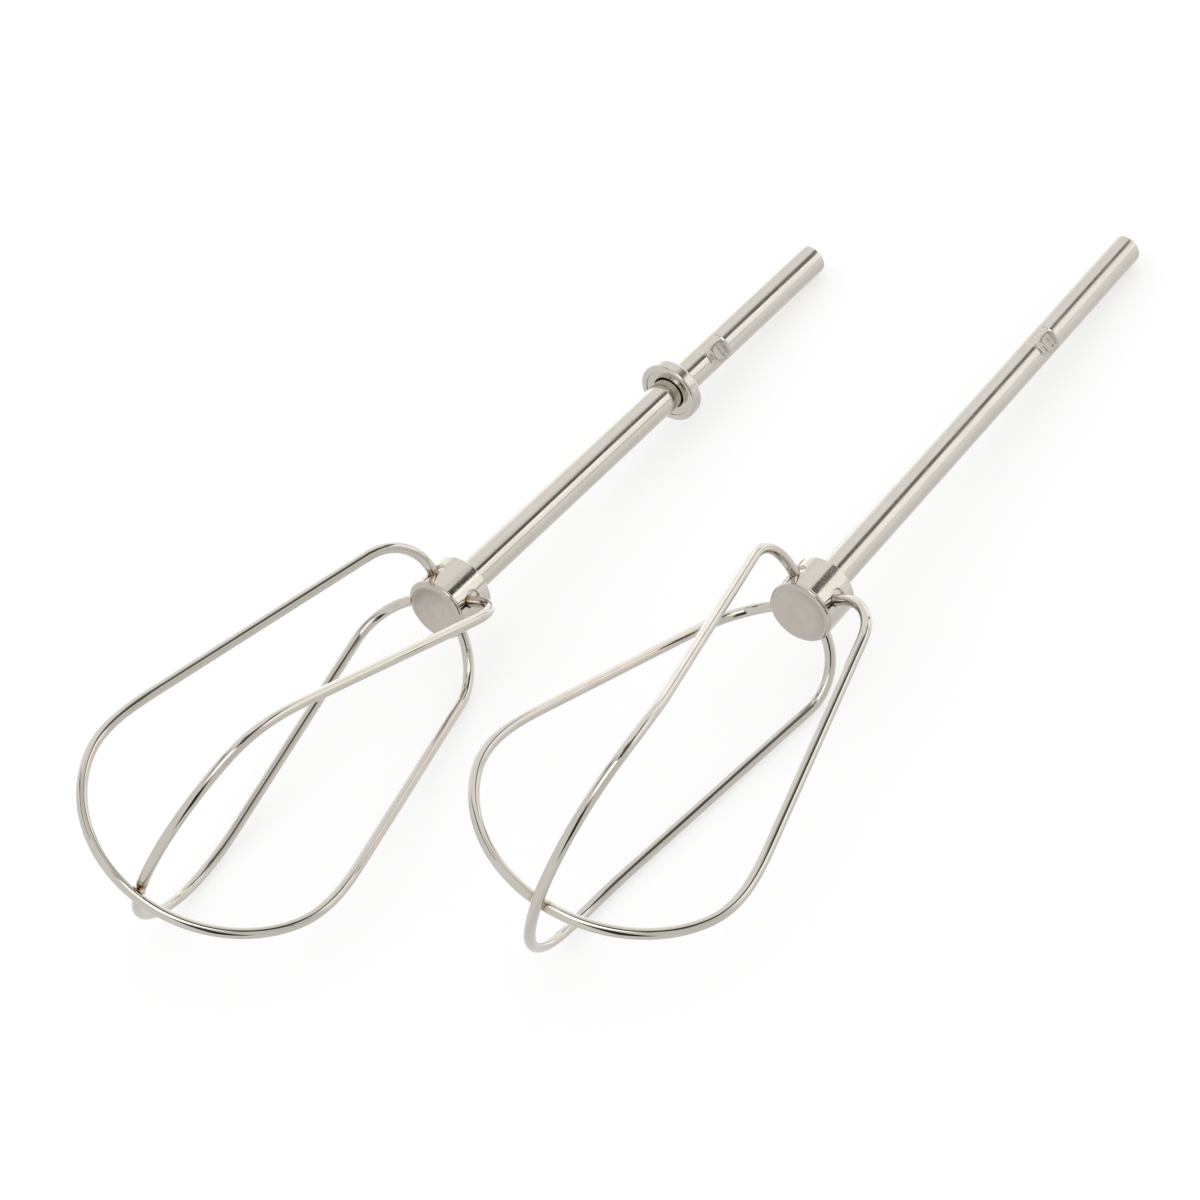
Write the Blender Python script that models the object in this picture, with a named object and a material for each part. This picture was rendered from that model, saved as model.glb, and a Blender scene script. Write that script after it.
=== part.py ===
"""A pair of loose wire beaters for a hand mixer, lying side by side.

Each beater is built in its own axes: the origin is the centre of the hub's front
face, +Z runs along the shaft's axis towards the tip of the wire cage, and the shaft
runs back along -Z. An empty then lays each beater on the plane Z = 0.
The right beater's cage is the mirror image of the left one's, so that the two can
turn in opposite directions side by side.
World axes: +Z up, +Y from the cages' tips towards the shafts' ends, +X from the
left beater to the right one.
"""

import math

import bmesh
import bpy
from mathutils import Matrix, Vector

MM = 0.001
GAP = 0.3 * MM  # clearance kept between neighbouring pieces

# Shaft
SHAFT_R = 3.0 * MM
SHAFT_FRONT_Z = -5.2 * MM
SHAFT_END_Z = -118.3 * MM
SHAFT_CHAMFER = 0.5 * MM
LUG_Z = -84.0 * MM
LUG_REACH = 3.9 * MM  # from the shaft's axis to the top of a drive lug
LUG_LENGTH = 4.8 * MM
LUG_WIDTH = 3.6 * MM
LUG_ROUNDING = 0.6 * MM
LUG_ANGLE = math.radians(-74)

# Hub
HUB_R = 6.0 * MM
HUB_BACK_Z = -8.7 * MM
HUB_BEVEL = 0.4 * MM
CAP_THICKNESS = 0.75 * MM
CAP_SPIGOT = 0.9 * MM
HUB_FRONT_Z = -(CAP_THICKNESS + GAP)
BORE_R = SHAFT_R + GAP

# Wire cage
WIRE_R = 1.0 * MM
WIRE_END_R = 2.0 * MM  # how near the shaft's axis a wire end reaches inside the hub
ENTRY_Z = -3.4 * MM
ELBOW_BEND_R = 10.0 * MM
TIP_ARC_R = 25.0 * MM
BLEND = 10.0 * MM  # length on each side over which a flank turns into the tip arc
CAGE_TWIST = math.radians(44)
OUTER_TIP_Z = 83.4 * MM
INNER_TIP_Z = OUTER_TIP_Z - 2 * WIRE_R - GAP
OUTER_ELBOW_R = 15.5 * MM
INNER_ELBOW_R = 16.3 * MM

# Collar on the left shaft only
COLLAR_R = 6.0 * MM
COLLAR_FRONT_Z = -70.7 * MM
COLLAR_BACK_Z = -73.7 * MM
COLLAR_BEVEL = 0.9 * MM
COUNTERBORE_R = 4.5 * MM
COUNTERBORE_DEPTH = 1.0 * MM

# How each beater lies: hub face centre, heading of the tip, rise of the tip, and
# turn about its own axis (the left cage turns to the right as it widens)
LEFT = {
    "place": (-34.63 * MM, -25.57 * MM, 15.25 * MM),
    "heading": -91.97,
    "rise": 5.94,
    "roll": 12.49,
    "hand": 1,
}
RIGHT = {
    "place": (33.19 * MM, -8.23 * MM, 16.27 * MM),
    "heading": -88.03,
    "rise": 6.47,
    "roll": 15.91,
    "hand": -1,
}

ROUND_STEPS = 32
STEEL = (0.74, 0.72, 0.68, 1.0)


def clear_scene():
    for obj in list(bpy.data.objects):
        bpy.data.objects.remove(obj, do_unlink=True)


def steel_material(name, roughness):
    material = bpy.data.materials.new(name)
    material.use_nodes = True
    shader = material.node_tree.nodes["Principled BSDF"]
    shader.inputs["Base Color"].default_value = STEEL
    shader.inputs["Metallic"].default_value = 1.0
    shader.inputs["Roughness"].default_value = roughness
    material.diffuse_color = STEEL
    return material


def add_object(name, data, parent, roughness=0.25):
    """Link an object for a mesh or curve, in the axes of its parent."""
    obj = bpy.data.objects.new(name, data)
    bpy.context.collection.objects.link(obj)
    data.materials.append(steel_material(name, roughness))
    obj.parent = parent
    return obj


def beater_axes(name, lay):
    """An empty whose axes are the beater's own: +Z towards the tip."""
    empty = bpy.data.objects.new(name, None)
    bpy.context.collection.objects.link(empty)
    heading = Matrix.Rotation(math.radians(lay["heading"]), 4, "Z")
    tip_rise = Matrix.Rotation(math.radians(90 - lay["rise"]), 4, "Y")
    roll = Matrix.Rotation(math.radians(lay["roll"]), 4, "Z")
    empty.matrix_world = Matrix.Translation(lay["place"]) @ heading @ tip_rise @ roll
    return empty


def turned_mesh(name, profile):
    """A solid of revolution about Z from a closed (radius, z) outline.

    The outline runs anticlockwise seen with the radius to the right and Z up.
    """
    bm = bmesh.new()
    outline = [bm.verts.new((radius, 0.0, z)) for radius, z in profile]
    edges = [bm.edges.new((a, b)) for a, b in zip(outline, outline[1:])]
    if profile[0][0] > 0 or profile[-1][0] > 0:
        edges.append(bm.edges.new((outline[-1], outline[0])))
    bmesh.ops.spin(
        bm,
        geom=outline + edges,
        cent=(0, 0, 0),
        axis=(0, 0, 1),
        angle=2 * math.pi,
        steps=ROUND_STEPS,
        use_merge=True,
    )
    bmesh.ops.remove_doubles(bm, verts=bm.verts, dist=1e-6)
    bmesh.ops.recalc_face_normals(bm, faces=bm.faces)
    mesh = bpy.data.meshes.new(name)
    bm.to_mesh(mesh)
    bm.free()
    mesh.shade_smooth()
    mesh.set_sharp_from_angle(angle=math.radians(30))
    return mesh


def boolean(obj, other, operation):
    """Combine obj with a helper shape, which stays hidden."""
    other.hide_render = True
    other.display_type = "WIRE"
    modifier = obj.modifiers.new(operation.lower(), "BOOLEAN")
    modifier.operation = operation
    modifier.object = other


def helper_object(name, mesh, parent):
    obj = bpy.data.objects.new(name, mesh)
    bpy.context.collection.objects.link(obj)
    obj.parent = parent
    return obj


def drive_lug_bar(name, parent):
    """A rounded bar across the shaft; its two ends are the drive lugs."""
    bm = bmesh.new()
    bmesh.ops.create_cube(bm, size=1.0)
    bmesh.ops.scale(bm, vec=(2 * LUG_REACH, LUG_WIDTH, LUG_LENGTH), verts=bm.verts)
    bmesh.ops.bevel(
        bm,
        geom=bm.edges[:],
        offset=LUG_ROUNDING,
        offset_type="OFFSET",
        segments=2,
        profile=0.5,
        affect="EDGES",
    )
    mesh = bpy.data.meshes.new(name)
    bm.to_mesh(mesh)
    bm.free()
    bar = helper_object(name, mesh, parent)
    bar.matrix_local = Matrix.Translation((0, 0, LUG_Z)) @ Matrix.Rotation(LUG_ANGLE, 4, "Z")
    return bar


def shaft(side, parent):
    profile = [
        (0.0, SHAFT_END_Z),
        (SHAFT_R - SHAFT_CHAMFER, SHAFT_END_Z),
        (SHAFT_R, SHAFT_END_Z + SHAFT_CHAMFER),
        (SHAFT_R, SHAFT_FRONT_Z),
        (0.0, SHAFT_FRONT_Z),
    ]
    obj = add_object(side + "_shaft", turned_mesh(side + "_shaft", profile), parent)
    boolean(obj, drive_lug_bar(side + "_lug_bar", parent), "UNION")
    return obj


def wire_slot_cutter(name, parent, angle):
    """A bar across the hub: round where the wire lies, open towards the front."""
    slot_r = WIRE_R + GAP
    half_turn = [math.pi + math.pi * step / 8 for step in range(9)]
    outline = [(slot_r * math.cos(a), ENTRY_Z + slot_r * math.sin(a)) for a in half_turn]
    outline += [(slot_r, HUB_FRONT_Z + MM), (-slot_r, HUB_FRONT_Z + MM)]
    reach = HUB_R + MM
    bm = bmesh.new()
    face = bm.faces.new([bm.verts.new((-reach, y, z)) for y, z in outline])
    swept = bmesh.ops.extrude_face_region(bm, geom=[face])
    moved = [item for item in swept["geom"] if isinstance(item, bmesh.types.BMVert)]
    bmesh.ops.translate(bm, verts=moved, vec=(2 * reach, 0, 0))
    bmesh.ops.recalc_face_normals(bm, faces=bm.faces)
    mesh = bpy.data.meshes.new(name)
    bm.to_mesh(mesh)
    bm.free()
    cutter = helper_object(name, mesh, parent)
    cutter.matrix_local = Matrix.Rotation(angle, 4, "Z")
    return cutter


def hub(side, parent):
    """The hub body: a bored cylinder with four wire slots open towards its cap."""
    profile = [
        (BORE_R, HUB_BACK_Z),
        (HUB_R - HUB_BEVEL, HUB_BACK_Z),
        (HUB_R, HUB_BACK_Z + HUB_BEVEL),
        (HUB_R, HUB_FRONT_Z),
        (BORE_R, HUB_FRONT_Z),
    ]
    obj = add_object(side + "_hub", turned_mesh(side + "_hub", profile), parent)
    for index, angle in enumerate((0.0, math.pi / 2)):
        cutter = wire_slot_cutter(f"{side}_slot_cutter_{index}", parent, angle)
        boolean(obj, cutter, "DIFFERENCE")
    return obj


def hub_cap(side, parent):
    """The disc that closes the hub, with a spigot in the hub's bore."""
    spigot_r = BORE_R - GAP
    spigot_z = -CAP_THICKNESS - CAP_SPIGOT
    profile = [
        (0.0, spigot_z),
        (spigot_r, spigot_z),
        (spigot_r, -CAP_THICKNESS),
        (HUB_R, -CAP_THICKNESS),
        (HUB_R, -HUB_BEVEL),
        (HUB_R - HUB_BEVEL, 0.0),
        (0.0, 0.0),
    ]
    return add_object(side + "_hub_cap", turned_mesh(side + "_hub_cap", profile), parent)


def collar(side, parent):
    """The ring on the shaft, rounded outside and counterbored towards the cage."""
    profile = [
        (BORE_R, COLLAR_BACK_Z),
        (COLLAR_R - COLLAR_BEVEL, COLLAR_BACK_Z),
        (COLLAR_R, COLLAR_BACK_Z + COLLAR_BEVEL),
        (COLLAR_R, COLLAR_FRONT_Z - COLLAR_BEVEL),
        (COLLAR_R - COLLAR_BEVEL, COLLAR_FRONT_Z),
        (COUNTERBORE_R, COLLAR_FRONT_Z),
        (COUNTERBORE_R, COLLAR_FRONT_Z - COUNTERBORE_DEPTH),
        (BORE_R, COLLAR_FRONT_Z - COUNTERBORE_DEPTH),
    ]
    return add_object(side + "_collar", turned_mesh(side + "_collar", profile), parent, 0.3)


def elbow(corner, into, out_of, steps):
    """Points of the bend at a corner, from direction into to direction out_of."""
    angle = into.angle(out_of)
    side = (out_of - into * into.dot(out_of)).normalized()
    start = corner - into * ELBOW_BEND_R * math.tan(angle / 2)
    centre = start + side * ELBOW_BEND_R
    turns = [angle * step / steps for step in range(steps + 1)]
    return [centre + ELBOW_BEND_R * (into * math.sin(a) - side * math.cos(a)) for a in turns]


def hermite(start, start_dir, end, end_dir, steps):
    """Points of a smooth curve between two points, without its last point."""
    pull = 2 * BLEND
    points = []
    for step in range(steps):
        t = step / steps
        points.append(
            start * (2 * t**3 - 3 * t**2 + 1)
            + start_dir * pull * (t**3 - 2 * t**2 + t)
            + end * (3 * t**2 - 2 * t**3)
            + end_dir * pull * (t**3 - t**2)
        )
    return points


def half_wire(tip_z, elbow_r, twist):
    """Centre line of one arm, from inside the hub to the tip on the axis.

    The arm leaves the hub square to the shaft, bends at the elbow, runs straight and
    skewed along the cage's flank, and blends into a flat arc about the shaft's axis.
    """
    across = Vector((math.cos(twist), math.sin(twist), 0))
    along = Vector((0, 0, 1))
    arc_centre = along * (tip_z - TIP_ARC_R)
    entry = Vector((WIRE_END_R, 0, ENTRY_Z))
    corner = Vector((elbow_r, 0, ENTRY_Z))
    widest = arc_centre + across * TIP_ARC_R
    outward = (corner - entry).normalized()
    flank = (widest - corner).normalized()
    blend_angle = BLEND / TIP_ARC_R

    def on_arc(angle):
        return arc_centre + TIP_ARC_R * (across * math.cos(angle) + along * math.sin(angle))

    arc_start_dir = along * math.cos(blend_angle) - across * math.sin(blend_angle)
    arc_steps = 9
    sweep = math.pi / 2 - blend_angle
    points = [entry] + elbow(corner, outward, flank, 6)
    points += hermite(widest - flank * BLEND, flank, on_arc(blend_angle), arc_start_dir, 5)
    points += [on_arc(blend_angle + sweep * step / arc_steps) for step in range(arc_steps + 1)]
    return points


def wire(name, parent, tip_z, elbow_r, start_angle, twist):
    """A whole wire: one arm out to the tip and the same arm turned half round, back."""
    out = half_wire(tip_z, elbow_r, twist)
    half_turn = Matrix.Rotation(math.pi, 3, "Z")
    back = [half_turn @ point for point in reversed(out[:-1])]
    placed = Matrix.Rotation(start_angle, 3, "Z")
    points = [placed @ point for point in out + back]
    curve = bpy.data.curves.new(name, "CURVE")
    curve.dimensions = "3D"
    curve.bevel_depth = WIRE_R
    curve.bevel_resolution = 3
    curve.use_fill_caps = True
    spline = curve.splines.new("POLY")
    spline.points.add(len(points) - 1)
    for spline_point, point in zip(spline.points, points):
        spline_point.co = (*point, 1.0)
    spline.use_smooth = True
    return add_object(name, curve, parent, 0.2)


def beater(side, lay):
    axes = beater_axes(side + "_beater", lay)
    twist = lay["hand"] * CAGE_TWIST
    shaft(side, axes)
    hub(side, axes)
    hub_cap(side, axes)
    wire(side + "_outer_wire", axes, OUTER_TIP_Z, OUTER_ELBOW_R, 0.0, twist)
    wire(side + "_inner_wire", axes, INNER_TIP_Z, INNER_ELBOW_R, math.pi / 2, twist)
    return axes


def build():
    clear_scene()
    left_axes = beater("left", LEFT)
    collar("left", left_axes)
    beater("right", RIGHT)


build()
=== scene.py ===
"""Looks for the pair of loose wire beaters: fine meshes, steel finishes, studio and camera.

Every piece is built in its beater's own axes, as in the CAD: the origin is the centre
of the hub cap's front face, +Z runs along the shaft's axis towards the tip of the wire
cage, and the shaft runs back along -Z. Lengths are in metres.
"""

import math

import bpy
import numpy as np
from mathutils import Matrix, Quaternion, Vector


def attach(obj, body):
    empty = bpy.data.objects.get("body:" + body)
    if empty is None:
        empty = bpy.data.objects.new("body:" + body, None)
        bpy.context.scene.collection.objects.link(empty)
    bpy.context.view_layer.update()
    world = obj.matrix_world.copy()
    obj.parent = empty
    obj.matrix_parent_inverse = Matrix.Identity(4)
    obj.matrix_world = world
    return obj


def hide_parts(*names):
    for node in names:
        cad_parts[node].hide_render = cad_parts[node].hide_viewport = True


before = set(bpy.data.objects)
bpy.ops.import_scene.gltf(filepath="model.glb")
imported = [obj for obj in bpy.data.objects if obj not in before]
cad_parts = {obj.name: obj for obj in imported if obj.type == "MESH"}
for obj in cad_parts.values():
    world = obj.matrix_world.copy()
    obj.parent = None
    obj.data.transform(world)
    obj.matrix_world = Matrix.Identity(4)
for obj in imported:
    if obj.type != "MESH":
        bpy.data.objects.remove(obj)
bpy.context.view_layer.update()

MM = 0.001
TURN = 2 * math.pi

# How each beater lies (hub face centre in millimetres; heading of the tip, rise of the
# tip and turn about its own axis in degrees), the side to which its cage twists, how
# much its welds and hub are burnt, and how its cap's rim is rounded: the direction of
# the broad side in degrees, then the broad and the narrow width and the drop
LEFT = {
    "side": "left",
    "place": (-34.63, -25.57, 15.25),
    "heading": -91.97,
    "rise": 5.94,
    "roll": 12.49,
    "hand": 1,
    "weld_burn": 1.0,
    "hub_burn": 0.6,
    "cap_rim": (190, 1.15 * MM, 0.22 * MM, 0.64 * MM),
}
RIGHT = {
    "side": "right",
    "place": (33.19, -8.23, 16.27),
    "heading": -88.03,
    "rise": 6.47,
    "roll": 15.91,
    "hand": -1,
    "weld_burn": 0.35,
    "hub_burn": 0.25,
    "cap_rim": (90, 0.85 * MM, 0.50 * MM, 0.55 * MM),
}

# Shaft and drive lugs
SHAFT_R = 3.0 * MM
SHAFT_FRONT_Z = -5.2 * MM
SHAFT_END_Z = -118.3 * MM
SHAFT_CHAMFER = 0.5 * MM
LUG_Z = -84.0 * MM
LUG_RISE = 0.90 * MM
LUG_DISH = 0.34
LUG_MARK = 0.035
LUG_MARK_PITCH = 0.55 * MM
LUG_SLOPE_ACROSS = 0.16
LUG_SLOPE_ALONG = 0.10
PRESSED_DEPTH = 0.16 * MM
LUG_HALF_LENGTH = 2.45 * MM
LUG_HALF_WIDTH = 1.85 * MM
LUG_ANGLES = (math.radians(106), math.radians(-74))

# Hub and its cap
HUB_R = 6.0 * MM
HUB_BACK_Z = -8.7 * MM
HUB_BACK_CHAMFER = 0.32 * MM
HUB_FRONT_Z = -0.75 * MM
HUB_BORE_R = 3.0 * MM
HOLE_DEPTH = 0.5 * MM
STAKE_DEPTH = 0.42 * MM
STAKE_R = 1.5 * MM
STAKE_BEHIND = 0.95 * MM
SLOT_DEPTH = 0.75 * MM
SLOT_HALF_WIDTH = 0.22 * MM
SLOT_FLARE = 0.35 * MM
LIP_RISE = 0.05 * MM
CAP_BACK_Z = -0.78 * MM
CAP_DISH = 0.05 * MM

# Wire cage
WIRE_R = 1.0 * MM
WIRE_END_R = 2.0 * MM
ENTRY_Z = -3.4 * MM
ELBOW_BEND_R = 10.0 * MM
TIP_ARC_R = 25.0 * MM
BLEND = 10.0 * MM
CAGE_TWIST = math.radians(44)
OUTER_TIP_Z = 83.4 * MM
INNER_TIP_Z = OUTER_TIP_Z - 2 * WIRE_R - 0.04 * MM
OUTER_ELBOW_R = 15.5 * MM
INNER_ELBOW_R = 16.3 * MM

# Collar
COLLAR_R = 6.0 * MM
COLLAR_FRONT_Z = -70.7 * MM
COLLAR_BACK_Z = -73.7 * MM
COLLAR_BORE_R = 3.10 * MM
COLLAR_RECESS_R = 4.70 * MM
COLLAR_GAP_R = 3.28 * MM

# Camera
CAMERA_TARGET = (-0.01976, -0.00110, 0.0)
CAMERA_AZIMUTH = 46.814
CAMERA_ELEVATION = 38.218
CAMERA_TILT = -20.486
CAMERA_DISTANCE = 0.94344
CAMERA_LENS = 157.87
CAMERA_SENSOR = 36


# ---------------------------------------------------------------- meshes


def smooth_step(value, start, end):
    """0 before start, 1 after end, and smooth between them. start may be above end."""
    t = np.clip((value - start) / (end - start), 0.0, 1.0)
    return t * t * (3 - 2 * t)


def bump_curve(value, width):
    """1 where value is 0, fading to 0 about twice the width away."""
    return np.exp(-((value / width) ** 2))


def around(angle, centre):
    """The signed turn from centre to angle, between minus half a turn and half a turn."""
    return (angle - centre + math.pi) % TURN - math.pi


def beater_matrix(lay):
    """From a beater's own axes to where it lies."""
    place = Vector(lay["place"]) * MM
    heading = Matrix.Rotation(math.radians(lay["heading"]), 4, "Z")
    tip_rise = Matrix.Rotation(math.radians(90 - lay["rise"]), 4, "Y")
    roll = Matrix.Rotation(math.radians(lay["roll"]), 4, "Z")
    return Matrix.Translation(place) @ heading @ tip_rise @ roll


def add_piece(lay, part, mesh, material):
    """Put a mesh in its beater's axes, on the beater's body, in place of its CAD node."""
    name = f"{lay['side']}_{part}"
    co = np.empty(len(mesh.vertices) * 3, np.float32)
    mesh.vertices.foreach_get("co", co)
    add_values(mesh, "own_place", co.reshape(-1, 3))
    mesh.transform(beater_matrix(lay))
    piece = bpy.data.objects.new(name + "_finished", mesh)
    bpy.context.scene.collection.objects.link(piece)
    mesh.materials.append(material)
    mesh.shade_smooth()
    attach(piece, lay["side"] + "_beater")
    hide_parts(name)


def tube_mesh(name, points):
    """A closed tube from points[ring][place on the ring]."""
    rows, columns = points.shape[:2]
    index = np.arange(rows * columns).reshape(rows, columns)
    low, high = index[:-1], index[1:]
    quads = np.stack([low, np.roll(low, -1, 1), np.roll(high, -1, 1), high], 2).reshape(-1, 4)
    faces = quads.tolist()
    faces.append(index[0][::-1].tolist())
    faces.append(index[-1].tolist())
    mesh = bpy.data.meshes.new(name)
    mesh.from_pydata(points.reshape(-1, 3).tolist(), [], faces)
    return mesh


def add_values(mesh, name, values):
    """Store one number, or one vector, for each vertex."""
    kind = "FLOAT" if values.ndim == 1 else "FLOAT_VECTOR"
    layer = mesh.attributes.new(name, kind, "POINT")
    layer.data.foreach_set("value" if values.ndim == 1 else "vector", values.astype(np.float32).ravel())


def fillet(corner_points, radius_of, steps=6):
    """Round the corners of an open or closed outline of (r, z) points.

    radius_of gives each corner's rounding; 0 keeps it sharp.
    """
    outline = []
    count = len(corner_points)
    for i, corner in enumerate(corner_points):
        radius = radius_of[i]
        corner = np.array(corner)
        if radius == 0:
            outline.append(corner)
            continue
        before = np.array(corner_points[i - 1]) - corner
        after = np.array(corner_points[(i + 1) % count]) - corner
        before, after = before / np.linalg.norm(before), after / np.linalg.norm(after)
        half = math.acos(np.clip(np.dot(before, after), -1, 1)) / 2
        start = corner + before * radius / math.tan(half)
        end = corner + after * radius / math.tan(half)
        centre = corner + (before + after) / np.linalg.norm(before + after) * radius / math.sin(half)
        a, b = start - centre, end - centre
        angle = math.acos(np.clip(np.dot(a, b) / radius**2, -1, 1))
        for step in range(steps + 1):
            t = step / steps
            spoke = (a * math.sin((1 - t) * angle) + b * math.sin(t * angle)) / math.sin(angle)
            outline.append(centre + spoke)
    return outline


def densify(outline, spacing, fine=None, closed=False):
    """Add points so that neighbours are at most spacing apart.

    fine is (lowest z, highest z, finer spacing) for a stretch that needs more rings.
    """
    dense = []
    pairs = zip(outline, outline[1:] + outline[:1]) if closed else zip(outline, outline[1:])
    for start, end in pairs:
        start, end = np.array(start), np.array(end)
        cuts = [0.0, 1.0]
        if fine and abs(end[1] - start[1]) > 1e-9:
            for edge in fine[:2]:
                t = (edge - start[1]) / (end[1] - start[1])
                if 0 < t < 1:
                    cuts.append(t)
        cuts.sort()
        for t0, t1 in zip(cuts, cuts[1:]):
            middle = start + (end - start) * (t0 + t1) / 2
            is_fine = fine and fine[0] <= middle[1] <= fine[1] and middle[0] > SHAFT_R * 0.9
            gap = fine[2] if is_fine else spacing
            steps = max(1, math.ceil(np.linalg.norm(end - start) * (t1 - t0) / gap - 1e-6))
            dense += [start + (end - start) * (t0 + (t1 - t0) * step / steps) for step in range(steps)]
    if not closed:
        dense.append(np.array(outline[-1]))
    return np.array(dense)


def turned_grid(outline, angles):
    """The outline's r and z and the angle for every [angle][outline point]."""
    r = np.repeat(outline[None, :, 0], len(angles), 0)
    z = np.repeat(outline[None, :, 1], len(angles), 0)
    a = np.repeat(angles[:, None], len(outline), 1)
    return r, z, a


def round_points(r, z, a):
    return np.stack([r * np.cos(a), r * np.sin(a), z], 2)


def turned_points(outline, angles, new_r=None):
    """Points of a turned part, [angle][outline point]; new_r(r, z, angle) reshapes its wall."""
    r, z, a = turned_grid(outline, angles)
    return round_points(new_r(r, z, a) if new_r else r, z, a)


def turned_ring(name, outline, angles, new_r=None):
    """A ring-shaped solid from a closed outline that stays off the axis."""
    points = turned_points(outline, angles, new_r)
    rows, columns = points.shape[:2]
    index = np.arange(rows * columns).reshape(rows, columns)
    ahead = np.roll(index, -1, 0)
    quads = np.stack([index, ahead, np.roll(ahead, -1, 1), np.roll(index, -1, 1)], 2).reshape(-1, 4)
    mesh = bpy.data.meshes.new(name)
    mesh.from_pydata(points.reshape(-1, 3).tolist(), [], quads.tolist())
    return mesh


def solid_from_spokes(name, points, first_z, last_z):
    """A solid from points[angle][place], closed on the axis at both ends."""
    rows, columns = points.shape[:2]
    index = np.arange(rows * columns).reshape(rows, columns)
    ahead = np.roll(index, -1, 0)
    quads = np.stack([index[:, :-1], ahead[:, :-1], ahead[:, 1:], index[:, 1:]], 2).reshape(-1, 4)
    first, last = rows * columns, rows * columns + 1
    faces = quads.tolist()
    faces += [[first, int(b), int(a)] for a, b in zip(index[:, 0], ahead[:, 0])]
    faces += [[last, int(a), int(b)] for a, b in zip(index[:, -1], ahead[:, -1])]
    vertices = points.reshape(-1, 3).tolist() + [(0, 0, first_z), (0, 0, last_z)]
    mesh = bpy.data.meshes.new(name)
    mesh.from_pydata(vertices, [], faces)
    return mesh


def turned_solid(name, outline, angles, new_r=None):
    """A solid whose outline starts and ends on the axis."""
    points = turned_points(outline[1:-1], angles, new_r)
    return solid_from_spokes(name, points, float(outline[0][1]), float(outline[-1][1]))


def even_angles(count):
    return np.arange(count) * TURN / count


def crowded_angles(centres, half_width, fine, coarse):
    """Angles once round, closer together near the given centres."""
    angles = []
    angle = 0.0
    while angle < TURN - 1e-6:
        angles.append(angle)
        nearest = min(abs(around(angle, centre)) for centre in centres)
        angle += fine if nearest < half_width else coarse
    return np.array(angles)


# ---------------------------------------------------------------- wires


def elbow(corner, into, out_of, steps):
    """Points of the bend at a corner, from direction into to direction out_of."""
    angle = into.angle(out_of)
    side = (out_of - into * into.dot(out_of)).normalized()
    centre = corner - into * ELBOW_BEND_R * math.tan(angle / 2) + side * ELBOW_BEND_R
    turns = [angle * step / steps for step in range(steps + 1)]
    return [centre + ELBOW_BEND_R * (into * math.sin(a) - side * math.cos(a)) for a in turns]


def hermite(start, start_dir, end, end_dir, steps):
    """Points of a smooth curve between two points, without its last point."""
    pull = 2 * BLEND
    points = []
    for step in range(steps):
        t = step / steps
        points.append(
            start * (2 * t**3 - 3 * t**2 + 1)
            + start_dir * pull * (t**3 - 2 * t**2 + t)
            + end * (3 * t**2 - 2 * t**3)
            + end_dir * pull * (t**3 - t**2)
        )
    return points


def half_wire(tip_z, elbow_r, twist):
    """Centre line of one arm, from inside the hub to the tip on the axis, as in the CAD."""
    across = Vector((math.cos(twist), math.sin(twist), 0))
    along = Vector((0, 0, 1))
    arc_centre = along * (tip_z - TIP_ARC_R)
    entry = Vector((WIRE_END_R, 0, ENTRY_Z))
    corner = Vector((elbow_r, 0, ENTRY_Z))
    widest = arc_centre + across * TIP_ARC_R
    outward = (corner - entry).normalized()
    flank = (widest - corner).normalized()
    blend_angle = BLEND / TIP_ARC_R

    def on_arc(angle):
        return arc_centre + TIP_ARC_R * (across * math.cos(angle) + along * math.sin(angle))

    arc_start_dir = along * math.cos(blend_angle) - across * math.sin(blend_angle)
    sweep = math.pi / 2 - blend_angle
    bend = elbow(corner, outward, flank, 32)
    stub = [entry.lerp(bend[0], step / 8) for step in range(8)]
    flank_end = widest - flank * BLEND
    run = [bend[-1].lerp(flank_end, step / 40) for step in range(1, 40)]
    points = stub + bend + run
    points += hermite(flank_end, flank, on_arc(blend_angle), arc_start_dir, 28)
    points += [on_arc(blend_angle + sweep * step / 44) for step in range(45)]
    return points


def wire_path(tip_z, elbow_r, start_angle, twist):
    """The whole wire: out to the tip, and the same arm turned half round, back."""
    out = half_wire(tip_z, elbow_r, twist)
    half_turn = Matrix.Rotation(math.pi, 3, "Z")
    back = [half_turn @ point for point in reversed(out[:-1])]
    placed = Matrix.Rotation(start_angle, 3, "Z")
    return [placed @ point for point in out + back]


def wire_mesh(name, path, tip_burn, hub_burn, sides=32):
    """A round wire swept along a path without twisting.

    Each vertex stores "drawn", its place on the wire as if it were straight: the length
    along it and the two coordinates across it. "burn" is the tint near its welds.
    """
    before, after = [path[0]] + path[:-1], path[1:] + [path[-1]]
    tangents = [(b - a).normalized() for a, b in zip(before, after)]
    normal = Vector((0, 0, 1))
    rings, drawn, lengths = [], [], []
    length = 0.0
    for i, (point, tangent) in enumerate(zip(path, tangents)):
        normal = (normal - tangent * normal.dot(tangent)).normalized()
        side = tangent.cross(normal)
        length += (point - path[i - 1]).length if i else 0.0
        lengths.append(length)
        for step in range(sides):
            turn = TURN * step / sides
            c, s = math.cos(turn) * WIRE_R, math.sin(turn) * WIRE_R
            rings.append(point + normal * c + side * s)
            drawn.append((length, c, s))
    mesh = tube_mesh(name, np.array(rings).reshape(len(path), sides, 3))
    add_values(mesh, "drawn", np.array(drawn))
    along = np.repeat(np.array(lengths), sides)
    from_hub = np.minimum(along, lengths[-1] - along) - (HUB_R - WIRE_END_R)
    from_tip = np.abs(along - lengths[-1] / 2)
    burn = hub_burn * bump_curve(from_hub - 0.3 * MM, 0.5 * MM)
    burn += tip_burn * bump_curve(from_tip - 1.4 * MM, 0.65 * MM)
    add_values(mesh, "burn", np.clip(burn, 0, 1))
    return mesh


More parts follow.
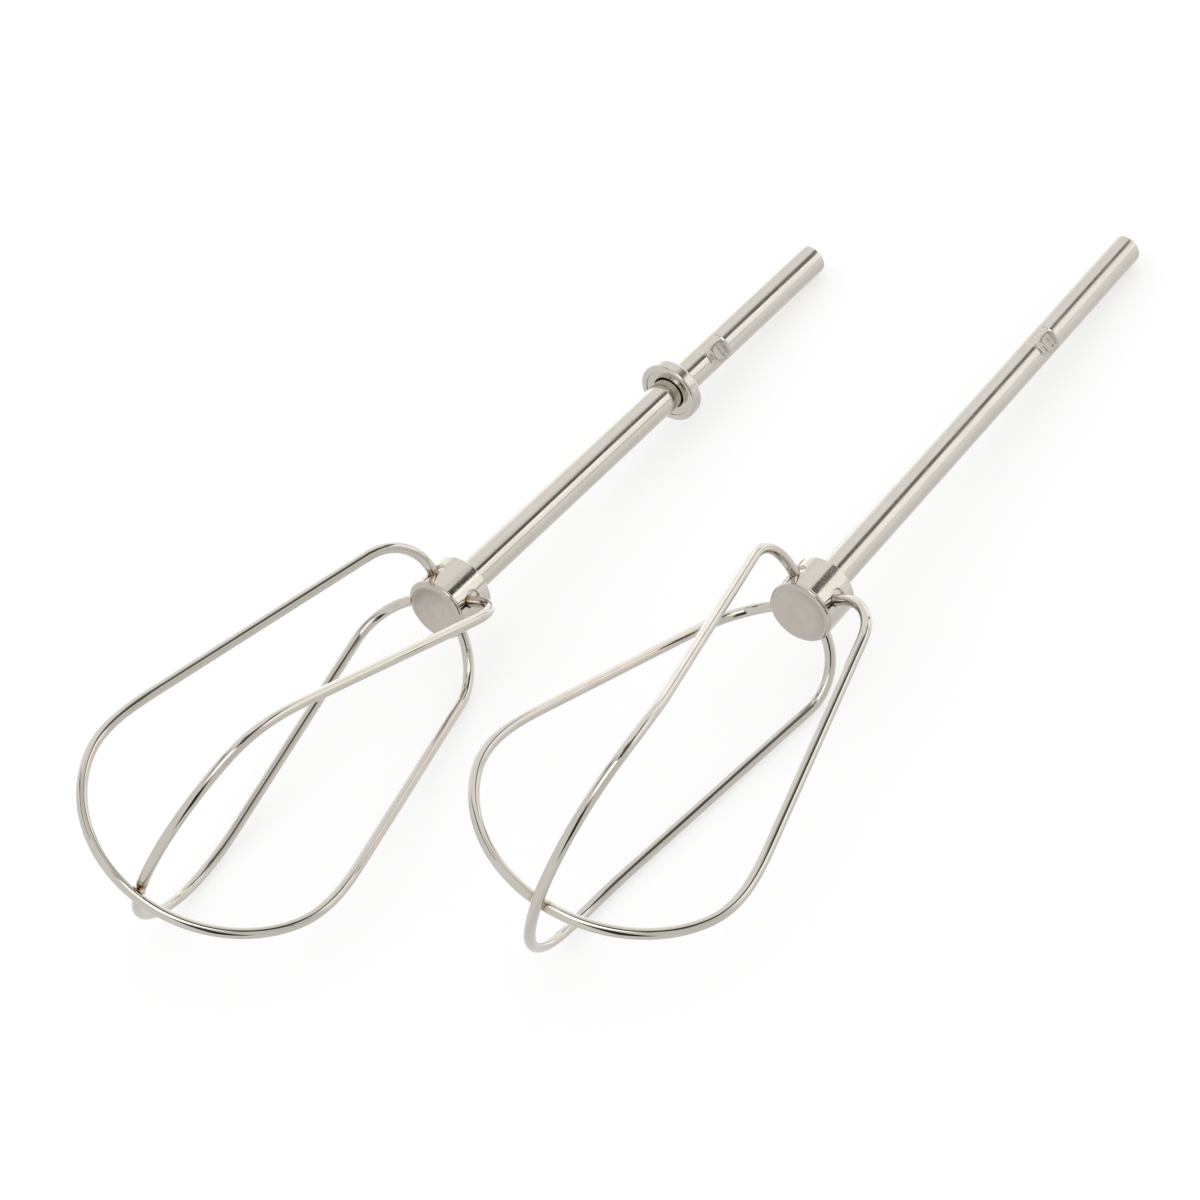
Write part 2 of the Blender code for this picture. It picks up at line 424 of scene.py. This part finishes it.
def add_wires(lay, material):
    """The outer loop, and the inner loop a quarter turn round, burnt at its tip's weld."""
    twist = lay["hand"] * CAGE_TWIST
    weld_burn = lay["weld_burn"]
    for part, tip_z, elbow_r, start, tip_burn in (
        ("outer_wire", OUTER_TIP_Z, OUTER_ELBOW_R, 0.0, 0.0),
        ("inner_wire", INNER_TIP_Z, INNER_ELBOW_R, math.pi / 2, weld_burn),
    ):
        path = wire_path(tip_z, elbow_r, start, twist)
        mesh = wire_mesh(f"{lay['side']}_{part}", path, tip_burn, 0.6 * weld_burn)
        add_piece(lay, part, mesh, material)


# ---------------------------------------------------------------- turned pieces


def lug_shape(z, angle):
    """How far the shaft's wall moves out at the lugs, and how rough the die left it."""
    change = np.zeros_like(z)
    rough = np.zeros_like(z)
    along = z - LUG_Z
    for centre in LUG_ANGLES:
        across = SHAFT_R * around(angle, centre)
        shape = np.abs(across / LUG_HALF_WIDTH) ** 3 + np.abs(along / LUG_HALF_LENGTH) ** 3
        shape = shape ** (1 / 3)
        boss = smooth_step(shape, 1.08, 0.78)
        dish = LUG_DISH * smooth_step(shape, 0.66, 0.25)
        marks = LUG_MARK * np.sin(along / LUG_MARK_PITCH * math.pi) * smooth_step(shape, 0.75, 0.5)
        slope = LUG_SLOPE_ACROSS * across / LUG_HALF_WIDTH + LUG_SLOPE_ALONG * along / LUG_HALF_LENGTH
        pressed = smooth_step(np.abs(across), 3.2 * MM, 2.6 * MM)
        pressed *= smooth_step(np.abs(along), 3.0 * MM, 2.6 * MM)
        change += boss * LUG_RISE * (1 - dish - marks - slope) - PRESSED_DEPTH * pressed * (1 - boss)
        rough += smooth_step(shape, 0.95, 0.70)
    return change, rough


def shaft_mesh(name):
    corners = [
        (0, SHAFT_END_Z),
        (SHAFT_R - SHAFT_CHAMFER, SHAFT_END_Z),
        (SHAFT_R, SHAFT_END_Z + SHAFT_CHAMFER),
        (SHAFT_R, SHAFT_FRONT_Z),
        (0, SHAFT_FRONT_Z),
    ]
    outline = fillet(corners, [0, 0.3 * MM, 0.5 * MM, 0, 0])
    outline = densify(outline, 1.2 * MM, (LUG_Z - 3.4 * MM, LUG_Z + 3.4 * MM, 0.06 * MM))

    def with_lugs(r, z, angle):
        on_wall = smooth_step(r, 0.5 * SHAFT_R, 0.98 * SHAFT_R)
        return r + lug_shape(z, angle)[0] * on_wall

    angles = even_angles(256)
    mesh = turned_solid(name, outline, angles, with_lugs)
    _, z, angle = turned_grid(outline[1:-1], angles)
    rough = np.append(lug_shape(z, angle)[1].ravel(), [0.0, 0.0])
    add_values(mesh, "satin", rough)
    # The lugs' coined faces are darkened a little as well as made satin.
    add_values(mesh, "painted_shade_and_marks", 0.22 * rough)
    return mesh


def hub_dent(z, angle):
    """Depth of the slots, holes and staking marks in the hub's wall, and the burnt places."""
    depth = np.zeros_like(z)
    burn = np.zeros_like(z)
    ahead = z - ENTRY_Z
    for quarter in range(4):
        across = HUB_R * around(angle, quarter * math.pi / 2)
        from_wire = np.hypot(across, ahead) - WIRE_R
        hole = HOLE_DEPTH * smooth_step(from_wire, 0.20 * MM, -0.05 * MM)
        from_stake = np.hypot(across, ahead + STAKE_BEHIND) - STAKE_R
        stake = STAKE_DEPTH * smooth_step(from_stake, 0.12 * MM, -0.12 * MM)
        slot_edge = SLOT_HALF_WIDTH + SLOT_FLARE * smooth_step(ahead, 1.4 * MM, 0.6 * MM)
        from_slot = np.abs(across) - slot_edge
        slot = SLOT_DEPTH * smooth_step(from_slot, 0.08 * MM, -0.08 * MM) * (ahead > 0)
        lip = -LIP_RISE * bump_curve(from_slot - 0.26 * MM, 0.14 * MM)
        lip *= smooth_step(ahead, 0.2 * MM, 0.7 * MM)
        depth = np.maximum(depth, np.maximum(np.maximum(hole, stake), slot))
        depth = np.where(depth < 1e-9, lip, depth)
        burn += bump_curve(from_wire, 0.35 * MM)
    return depth, burn


def hub_mesh(name, burnt):
    corners = [
        (HUB_BORE_R, HUB_BACK_Z),
        (HUB_R - HUB_BACK_CHAMFER, HUB_BACK_Z),
        (HUB_R, HUB_BACK_Z + HUB_BACK_CHAMFER),
        (HUB_R, HUB_FRONT_Z),
        (HUB_BORE_R, HUB_FRONT_Z),
    ]
    outline = fillet(corners, [0, 0.10 * MM, 0.12 * MM, 0.10 * MM, 0])
    fine = (ENTRY_Z - 2.6 * MM, HUB_FRONT_Z, 0.06 * MM)
    outline = densify(outline, 0.4 * MM, fine, closed=True)

    def with_dents(r, z, angle):
        share = np.clip((r - HUB_BORE_R) / (HUB_R - HUB_BORE_R), 0, 1)
        return r - hub_dent(z, angle)[0] * share

    quarters = [quarter * math.pi / 2 for quarter in range(5)]
    angles = crowded_angles(quarters, math.radians(19), math.radians(0.5), math.radians(2))
    mesh = turned_ring(name, outline, angles, with_dents)
    _, z, angle = turned_grid(outline, angles)
    depth, burn = hub_dent(z, angle)
    add_values(mesh, "burn", np.clip(burn.ravel() * burnt, 0, 1))
    # Painted shade: the deep bottoms of the slots are darkened.
    add_values(mesh, "painted_shade_and_marks", 0.75 * smooth_step(depth.ravel(), 0.52 * MM, 0.75 * MM))
    return mesh


def cap_mesh(name, broad_angle, broad, narrow, drop):
    """The disc over the hub's front. Its rounded rim is broader on one side.

    drop is how deep the rim is rounded. The face inside the rim is very slightly dished.
    """
    angles = even_angles(240)
    share = (0.5 + 0.5 * np.cos(angles - broad_angle)) ** 0.8
    width = (narrow + (broad - narrow) * share)[:, None]
    wall_r = np.full((len(angles), 3), HUB_R) - np.array([0.06, 0.0, 0.0]) * MM
    wall_z = np.array([CAP_BACK_Z, CAP_BACK_Z + 0.05 * MM, -drop - 0.02 * MM])
    wall_z = np.tile(wall_z, (len(angles), 1))
    bend = np.linspace(0, math.pi / 2, 17)[None, :]
    rim_r = HUB_R - width + width * np.cos(bend)
    rim_z = -drop + drop * np.sin(bend) + 0 * width
    edge_r = HUB_R - width
    face_r = edge_r * (1 - np.linspace(0, 1, 40)[None, 1:-1])
    from_edge = edge_r - face_r
    dish = smooth_step(from_edge, 0.0, 0.35 * MM)
    face_z = -CAP_DISH * dish * (0.35 + 0.65 * smooth_step(face_r, 0.5 * HUB_R, edge_r))
    r = np.concatenate([wall_r, rim_r, face_r], 1)
    z = np.concatenate([wall_z, rim_z, face_z], 1)
    a = np.repeat(angles[:, None], r.shape[1], 1)
    mesh = solid_from_spokes(name, round_points(r, z, a), CAP_BACK_Z, float(face_z[0, -1]))

    plain = np.zeros((len(angles), wall_r.shape[1] + rim_r.shape[1]))
    satin = np.concatenate([plain, np.ones_like(face_r)], 1)
    add_values(mesh, "satin", np.append(satin.ravel(), [0.0, 1.0]))
    # Painted shade: a dark crescent just inside the rim, strongest on its broad side and fading towards
    # the middle; then a faint darker ring mark on the face.
    shade = 0.30 * share[:, None] ** 2 * np.exp(-from_edge / (1.1 * MM))
    shade *= smooth_step(from_edge, 0.0, 0.1 * MM)
    shade += 0.06 * bump_curve(face_r - 1.9 * MM, 0.35 * MM)
    painted_shade_and_marks = np.concatenate([plain, shade], 1)
    add_values(mesh, "painted_shade_and_marks", np.append(painted_shade_and_marks.ravel(), [0.0, 0.0]))
    return mesh


def collar_mesh(name):
    """A ring with a shallow recess in its front and a gap round the shaft whose deep part is painted
    dark as shade.
    """
    corners = [
        (COLLAR_BORE_R, COLLAR_BACK_Z),
        (COLLAR_R, COLLAR_BACK_Z),
        (COLLAR_R, COLLAR_FRONT_Z),
        (COLLAR_RECESS_R, COLLAR_FRONT_Z),
        (COLLAR_RECESS_R - 0.08 * MM, COLLAR_FRONT_Z - 0.26 * MM),
        (COLLAR_GAP_R, COLLAR_FRONT_Z - 0.50 * MM),
        (COLLAR_GAP_R - 0.08 * MM, COLLAR_FRONT_Z - 1.90 * MM),
        (COLLAR_BORE_R, COLLAR_FRONT_Z - 2.00 * MM),
    ]
    rounding = [0.15, 1.0, 0.62, 0.14, 0.10, 0.10, 0, 0]
    outline = fillet(corners, [value * MM for value in rounding], steps=12)
    outline = densify(outline, 0.15 * MM, closed=True)
    angles = even_angles(240)
    mesh = turned_ring(name, outline, angles)
    # Painted shade: the deep part of the gap round the shaft is darkened.
    in_gap = smooth_step(outline[:, 0], COLLAR_GAP_R + 0.06 * MM, COLLAR_GAP_R - 0.04 * MM)
    deep = smooth_step(outline[:, 1], COLLAR_FRONT_Z - 0.6 * MM, COLLAR_FRONT_Z - 0.9 * MM)
    add_values(mesh, "painted_shade_and_marks", np.tile(in_gap * deep, len(angles)))
    return mesh


# ---------------------------------------------------------------- materials


def node(tree, kind, inputs=None, **settings):
    """Add a shader node. inputs maps a socket's name or number to a value or an output."""
    made = tree.nodes.new("ShaderNode" + kind)
    for key, value in settings.items():
        setattr(made, key, value)
    for key, value in (inputs or {}).items():
        if isinstance(value, bpy.types.NodeSocket):
            tree.links.new(value, made.inputs[key])
        else:
            made.inputs[key].default_value = value
    return made


def noise(tree, vector, detail, roughness=0.5):
    inputs = {"Vector": vector, "Scale": 1.0, "Detail": detail, "Roughness": roughness}
    return node(tree, "TexNoise", inputs).outputs["Fac"]


def remap(tree, value, low, high, new_low=0.0, new_high=1.0):
    inputs = {"Value": value, "From Min": low, "From Max": high, "To Min": new_low, "To Max": new_high}
    return node(tree, "MapRange", inputs, interpolation_type="SMOOTHSTEP").outputs["Result"]


def math_node(tree, operation, first, second=0.0):
    return node(tree, "Math", {0: first, 1: second}, operation=operation).outputs[0]


def mix_colour(tree, factor, first, second):
    inputs = {"Factor": factor, 6: first, 7: second}
    return node(tree, "Mix", inputs, data_type="RGBA").outputs[2]


def mix_value(tree, factor, first, second):
    inputs = {"Factor": factor, 2: first, 3: second}
    return node(tree, "Mix", inputs, data_type="FLOAT").outputs[0]


def stored(tree, name, output="Fac"):
    """The value that the mesh stores under this name, 0 where it stores none."""
    return node(tree, "Attribute", attribute_name=name).outputs[output]


def stretched(tree, vector, factors, turn=(0, 0, 0)):
    """Coordinates in millimetres times the factors, after a turn."""
    scale = tuple(factor / MM for factor in factors)
    inputs = {"Vector": vector, "Rotation": turn}
    turned = node(tree, "VectorRotate", inputs, rotation_type="EULER_XYZ").outputs[0]
    return node(tree, "VectorMath", {0: turned, 1: scale}, operation="MULTIPLY").outputs["Vector"]


def steel_colour(tree, place, colours, burnt):
    """The two tones in slow drifts and small flecks, then the heat tint, then the painted shade and the
    darker marks that the mesh stores.
    """
    drift = noise(tree, stretched(tree, place, (0.16, 0.16, 0.10)), 3.0)
    drift = remap(tree, drift, 0.32, 0.68, 0.0, 0.5)
    fleck = noise(tree, stretched(tree, place, (3.0, 3.0, 3.0)), 3.0)
    fleck = remap(tree, fleck, 0.3, 0.7, 0.0, 0.5)
    colour = mix_colour(tree, math_node(tree, "ADD", drift, fleck), *colours)
    colour = mix_colour(tree, remap(tree, burnt, 0.0, 0.6), colour, STRAW)
    colour = mix_colour(tree, remap(tree, burnt, 0.5, 1.0), colour, SCORCH)
    # Painted shade (slot bottoms, the collar's deep gap, the crescent inside the cap's rim) and darker
    # marks pull the colour towards near black.
    painted_shade_and_marks = math_node(tree, "MULTIPLY", stored(tree, "painted_shade_and_marks"), 0.93)
    return mix_colour(tree, painted_shade_and_marks, colour, SHADE_AND_MARK_DARK)


def steel_roughness(tree, place, limits, lines, scratches, burnt):
    """Smudged between the limits, and rougher on lines, scratches, burns and satin faces."""
    smudge = noise(tree, stretched(tree, place, (0.35, 0.35, 0.2)), 4.0)
    rough = mix_value(tree, remap(tree, smudge, 0.35, 0.7), *limits)
    for extra, amount in ((lines, 0.03), (scratches, 0.15), (burnt, 0.2), (stored(tree, "satin"), 0.22)):
        rough = math_node(tree, "ADD", rough, math_node(tree, "MULTIPLY", extra, amount))
    return rough


def steel(name, colours, roughness, grain, grain_depth, coordinates="own_place", pitted=0.0):
    """Bright steel: grain from drawing or turning, fine scratches, smudges and heat tint.

    colours are the two tones it drifts between; roughness is its lowest and highest;
    grain gives how the grain's coordinates are stretched, per millimetre; pitted is how
    deep its pits are beside the grain.
    """
    material = bpy.data.materials.new(name)
    material.use_nodes = True
    tree = material.node_tree
    shader = tree.nodes["Principled BSDF"]
    shader.inputs["Metallic"].default_value = 1.0
    place = stored(tree, coordinates, "Vector")

    mottle = noise(tree, stretched(tree, place, (1.6, 1.6, 1.6)), 3.0)
    mottle = remap(tree, mottle, 0.25, 0.65, 0.35, 1.0)
    burnt = math_node(tree, "MULTIPLY", stored(tree, "burn"), mottle)
    lines = noise(tree, stretched(tree, place, grain), 4.0, 0.6)
    scratches = scratch_lines(tree, place)
    colour = steel_colour(tree, place, colours, burnt)
    rough = steel_roughness(tree, place, roughness, lines, scratches, burnt)
    tree.links.new(colour, shader.inputs["Base Color"])
    tree.links.new(rough, shader.inputs["Roughness"])

    height = math_node(tree, "SUBTRACT", lines, math_node(tree, "MULTIPLY", scratches, 0.8))
    if pitted:
        pits = noise(tree, stretched(tree, place, (5.0, 5.0, 3.0)), 2.0)
        height = math_node(tree, "ADD", height, math_node(tree, "MULTIPLY", pits, pitted))
    bump = node(tree, "Bump", {"Height": height, "Distance": grain_depth, "Strength": 1.0})
    tree.links.new(bump.outputs["Normal"], shader.inputs["Normal"])
    return material


def scratch_lines(tree, place):
    """1 on a few hairline scratches that run in two directions, 0 elsewhere."""
    total = None
    for turn in ((0.5, 0.3, 0.9), (-0.7, 0.5, -0.4)):
        hair = noise(tree, stretched(tree, place, (2.4, 0.12, 2.4), turn), 1.0)
        off_middle = math_node(tree, "ABSOLUTE", math_node(tree, "SUBTRACT", hair, 0.5))
        patch = noise(tree, stretched(tree, place, (0.3, 0.3, 0.3), turn), 0.0)
        line = remap(tree, off_middle, 0.006, 0.0)
        line = math_node(tree, "MULTIPLY", line, remap(tree, patch, 0.55, 0.65))
        total = line if total is None else math_node(tree, "MAXIMUM", total, line)
    return total


STRAW = (0.38, 0.25, 0.10, 1.0)
SCORCH = (0.10, 0.055, 0.03, 1.0)
# Near black for the painted shade in slots, in the collar's gap and inside the cap's rim, and for darker
# marks.
SHADE_AND_MARK_DARK = (0.035, 0.030, 0.024, 1.0)
STEEL_LIGHT = (0.63, 0.593, 0.537, 1.0)
STEEL_WARM = (0.580, 0.540, 0.480, 1.0)
CAP_LIGHT = (0.560, 0.520, 0.470, 1.0)
CAP_WARM = (0.515, 0.475, 0.425, 1.0)


def steels():
    """One steel for each kind of piece: tones, roughness, grain, its depth, and pitting."""
    tones = (STEEL_LIGHT, STEEL_WARM)
    cap_tones = (CAP_LIGHT, CAP_WARM)
    return {
        "shaft": steel("shaft_steel", tones, (0.10, 0.15), (3.0, 3.0, 0.6), 0.0030 * MM, pitted=0.7),
        "hub": steel("hub_steel", tones, (0.05, 0.09), (3.0, 3.0, 2.0), 0.0040 * MM, pitted=1.0),
        "cap": steel("cap_steel", cap_tones, (0.06, 0.10), (4.0, 4.0, 4.0), 0.0035 * MM, pitted=1.2),
        "wire": steel("wire_steel", tones, (0.015, 0.04), (0.10, 4.0, 4.0), 0.0004 * MM, "drawn"),
        "collar": steel("collar_steel", tones, (0.17, 0.24), (3.0, 3.0, 7.0), 0.0015 * MM),
    }


# ---------------------------------------------------------------- object


def add_beater(lay, finish):
    side = lay["side"]
    broad_angle, broad, narrow, drop = lay["cap_rim"]
    add_piece(lay, "shaft", shaft_mesh(side + "_shaft"), finish["shaft"])
    add_piece(lay, "hub", hub_mesh(side + "_hub", lay["hub_burn"]), finish["hub"])
    add_wires(lay, finish["wire"])
    if side == "left":
        add_piece(lay, "collar", collar_mesh(side + "_collar"), finish["collar"])
    cap = cap_mesh(side + "_cap", math.radians(broad_angle), broad, narrow, drop)
    add_piece(lay, "hub_cap", cap, finish["cap"])


# ---------------------------------------------------------------- studio


FLOOR_GREY = (0.42, 0.42, 0.42, 1)
FLOOR_GLOW = 0.60
ROOM_LIGHT = 0.93


def add_floor():
    """A pale floor that takes shadows and shows white; reflections see the studio instead."""
    mesh = bpy.data.meshes.new("floor")
    half = 6.0
    corners = [(-half, -half, 0), (half, -half, 0), (half, half, 0), (-half, half, 0)]
    mesh.from_pydata(corners, [], [(0, 1, 2, 3)])
    floor = bpy.data.objects.new("floor", mesh)
    bpy.context.scene.collection.objects.link(floor)
    floor.location.z = -0.3 * MM
    material = bpy.data.materials.new("floor")
    material.use_nodes = True
    tree = material.node_tree
    shader = tree.nodes["Principled BSDF"]
    shader.inputs["Base Color"].default_value = FLOOR_GREY
    shader.inputs["Roughness"].default_value = 0.9
    shader.inputs["Specular IOR Level"].default_value = 0.0
    seen = node(tree, "LightPath").outputs["Is Camera Ray"]
    shader.inputs["Emission Color"].default_value = (1, 1, 1, 1)
    glow = math_node(tree, "MULTIPLY", seen, FLOOR_GLOW)
    tree.links.new(glow, shader.inputs["Emission Strength"])
    mesh.materials.append(material)
    floor.visible_glossy = False


# The studio as the steel sees it. Each panel is a patch of directions: azimuth and
# elevation of its middle, half its width and height, how softly it ends (all in
# degrees), and its brightness. Azimuth 0 is towards -Y and 90 is towards +X, and a
# later panel covers an earlier one.
PANELS = (
    ("floor", 0, -66, 180, 26, 7, 0.83),
    ("right wall", 88, 0, 32, 34, 12, 0.80),
    ("left wall", -140, 48, 55, 18, 10, 1.10),
    ("backdrop", 209, -5, 57, 31, 2.5, 1.30),
    ("backdrop foot", 160, -24, 12, 6, 5, 0.92),
    ("backdrop top", -165, 23, 13, 5, 2.5, 1.55),
    ("backdrop fold", 171.5, 11, 2.4, 13, 1.0, 0.22),
    ("left strip", -136, -15, 7, 26, 2.0, 1.80),
    ("right side", 131, -7, 14, 16, 7, 1.05),
    ("right strip", 135, 14, 13, 13.5, 2.5, 1.38),
    ("right strip edge", 131, 24.5, 6, 3.5, 1.5, 1.65),
    ("ceiling gap", -85, 70, 45, 4.5, 2.5, 0.10),
    ("ceiling gap side", -102, 58, 7, 9, 4, 0.25),
    ("corner gap", 124, 46.5, 21, 17.5, 2.0, 0.10),
    ("corner gap top", 155, 65, 18, 4, 3, 0.35),
    ("corner gap tail", 154, 35, 11, 6.5, 2.0, 0.20),
    ("softbox frame", 68, 58, 34, 18, 1.5, 0.15),
    ("softbox", 68, 58, 31, 15, 1.5, 2.2),
    ("camera side", 47, 8, 14, 26, 3, 0.03),
)


def panel_mask(tree, azimuth, elevation, panel):
    """1 in a panel's patch of directions, falling to 0 outside it."""
    _, middle_azimuth, middle_elevation, half_width, half_height, soft, _ = panel
    away = math_node(tree, "SUBTRACT", azimuth, float(middle_azimuth))
    away = node(tree, "Math", {0: away, 1: 180.0, 2: -180.0}, operation="WRAP").outputs[0]
    away = math_node(tree, "ABSOLUTE", away)
    above = math_node(tree, "ABSOLUTE", math_node(tree, "SUBTRACT", elevation, float(middle_elevation)))
    inside_width = remap(tree, away, half_width + soft, half_width - soft)
    inside_height = remap(tree, above, half_height + soft, half_height - soft)
    return math_node(tree, "MULTIPLY", inside_width, inside_height)


def set_world():
    """Plain white light, with the studio's panels showing only in reflections."""
    world = bpy.data.worlds.new("studio")
    bpy.context.scene.world = world
    world.use_nodes = True
    tree = world.node_tree
    direction = node(tree, "SeparateXYZ", {0: node(tree, "TexCoord").outputs["Generated"]})
    x, y, z = direction.outputs
    degrees = 180 / math.pi
    away_from_y = math_node(tree, "MULTIPLY", y, -1.0)
    azimuth = math_node(tree, "MULTIPLY", math_node(tree, "ARCTAN2", x, away_from_y), degrees)
    elevation = math_node(tree, "MULTIPLY", math_node(tree, "ARCSINE", z), degrees)
    strength = ROOM_LIGHT
    for panel in PANELS:
        mask = panel_mask(tree, azimuth, elevation, panel)
        strength = mix_value(tree, mask, strength, panel[-1])
    glossy = node(tree, "LightPath").outputs["Is Glossy Ray"]
    strength = mix_value(tree, glossy, 1.0, strength)
    background = tree.nodes["Background"]
    background.inputs["Color"].default_value = (1, 1, 1, 1)
    tree.links.new(strength, background.inputs["Strength"])


def add_camera():
    """Looks down on the pair from the side of the tips, with the horizon tilted."""
    azimuth, elevation = math.radians(CAMERA_AZIMUTH), math.radians(CAMERA_ELEVATION)
    level_back = Vector((math.sin(azimuth), -math.cos(azimuth), 0))
    back = level_back * math.cos(elevation) + Vector((0, 0, math.sin(elevation)))
    camera = bpy.data.objects.new("camera", bpy.data.cameras.new("camera"))
    bpy.context.scene.collection.objects.link(camera)
    camera.location = Vector(CAMERA_TARGET) + back * CAMERA_DISTANCE
    level = (-back).to_track_quat("-Z", "Y")
    tilt = Quaternion((0, 0, 1), math.radians(CAMERA_TILT))
    camera.rotation_mode = "QUATERNION"
    camera.rotation_quaternion = level @ tilt
    camera.data.lens = CAMERA_LENS
    camera.data.sensor_width = CAMERA_SENSOR
    bpy.context.scene.camera = camera


finish = steels()
add_beater(LEFT, finish)
add_beater(RIGHT, finish)
add_floor()
set_world()
add_camera()
bpy.context.scene.view_settings.view_transform = "Standard"
